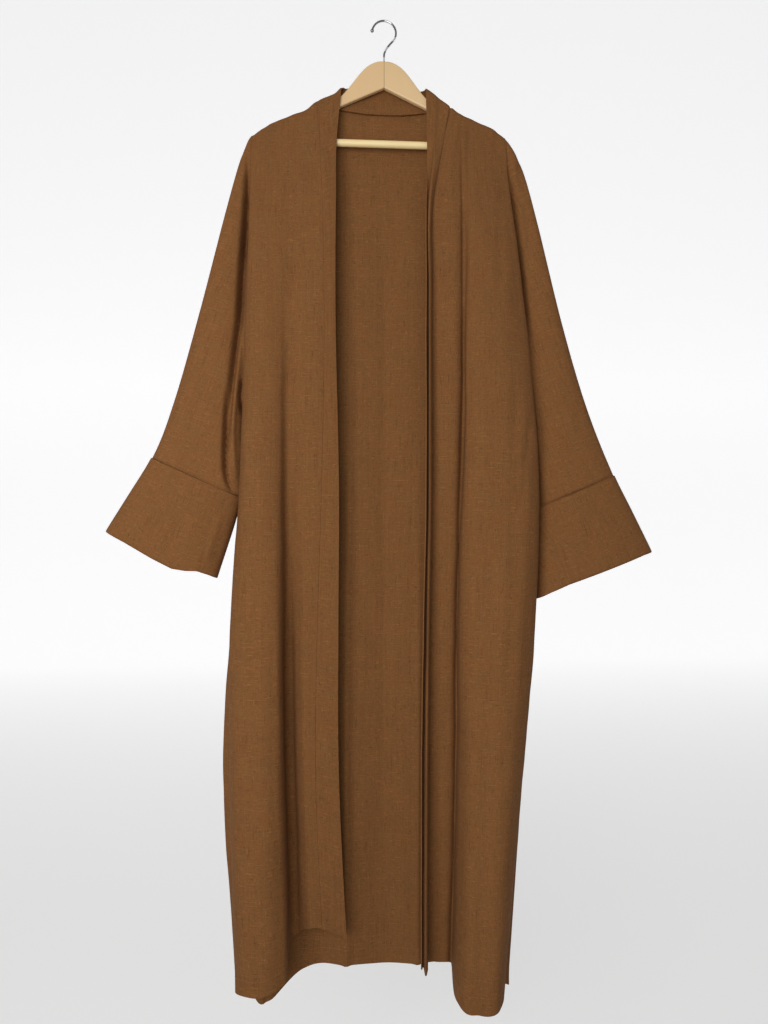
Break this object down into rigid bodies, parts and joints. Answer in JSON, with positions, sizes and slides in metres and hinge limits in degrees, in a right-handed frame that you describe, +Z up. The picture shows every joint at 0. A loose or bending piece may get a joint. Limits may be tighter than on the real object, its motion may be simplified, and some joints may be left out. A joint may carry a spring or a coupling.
{
  "type": "open kimono robe on a wooden hanger",
  "caption": "Ankle-length open robe with straight wide sleeves, deep turned-back cuffs and one long neck and front band, hanging in soft folds on a wooden trouser hanger.",
  "frame": {"origin": "inside of the crown of the hanger's wire hook, where a rail carries it", "axes": "+Z up, +X along the hanger's arms to the viewer's right (the wearer's left), -Y towards the viewer of the robe's front"},
  "size_m": [0.9126, 0.1253, 1.6145],
  "materials": {
    "back": "slubbed linen weave, matt",
    "front_right": "slubbed linen weave, matt",
    "front_left": "slubbed linen weave, matt",
    "sleeve_right": "slubbed linen weave, matt",
    "sleeve_left": "slubbed linen weave, matt",
    "cuff_right": "slubbed linen weave, matt",
    "cuff_left": "slubbed linen weave, matt",
    "band_right": "slubbed linen weave, matt, double",
    "band_left": "slubbed linen weave, matt, double",
    "hanger_arm_right": "satin varnish",
    "hanger_arm_left": "satin varnish",
    "hanger_bar": "satin varnish",
    "hanger_hook": "polished wire"
  },
  "bodies": {
    "root": {"back": "back", "front_right": "front_right", "front_left": "front_left", "sleeve_right": "sleeve_right", "sleeve_left": "sleeve_left", "cuff_right": "cuff_right", "cuff_left": "cuff_left", "band_right": "band_right", "band_left": "band_left", "hanger_arm_right": "hanger_arm_right", "hanger_arm_left": "hanger_arm_left", "hanger_bar": "hanger_bar", "hanger_hook": "hanger_hook"}
  },
  "joints": []
}
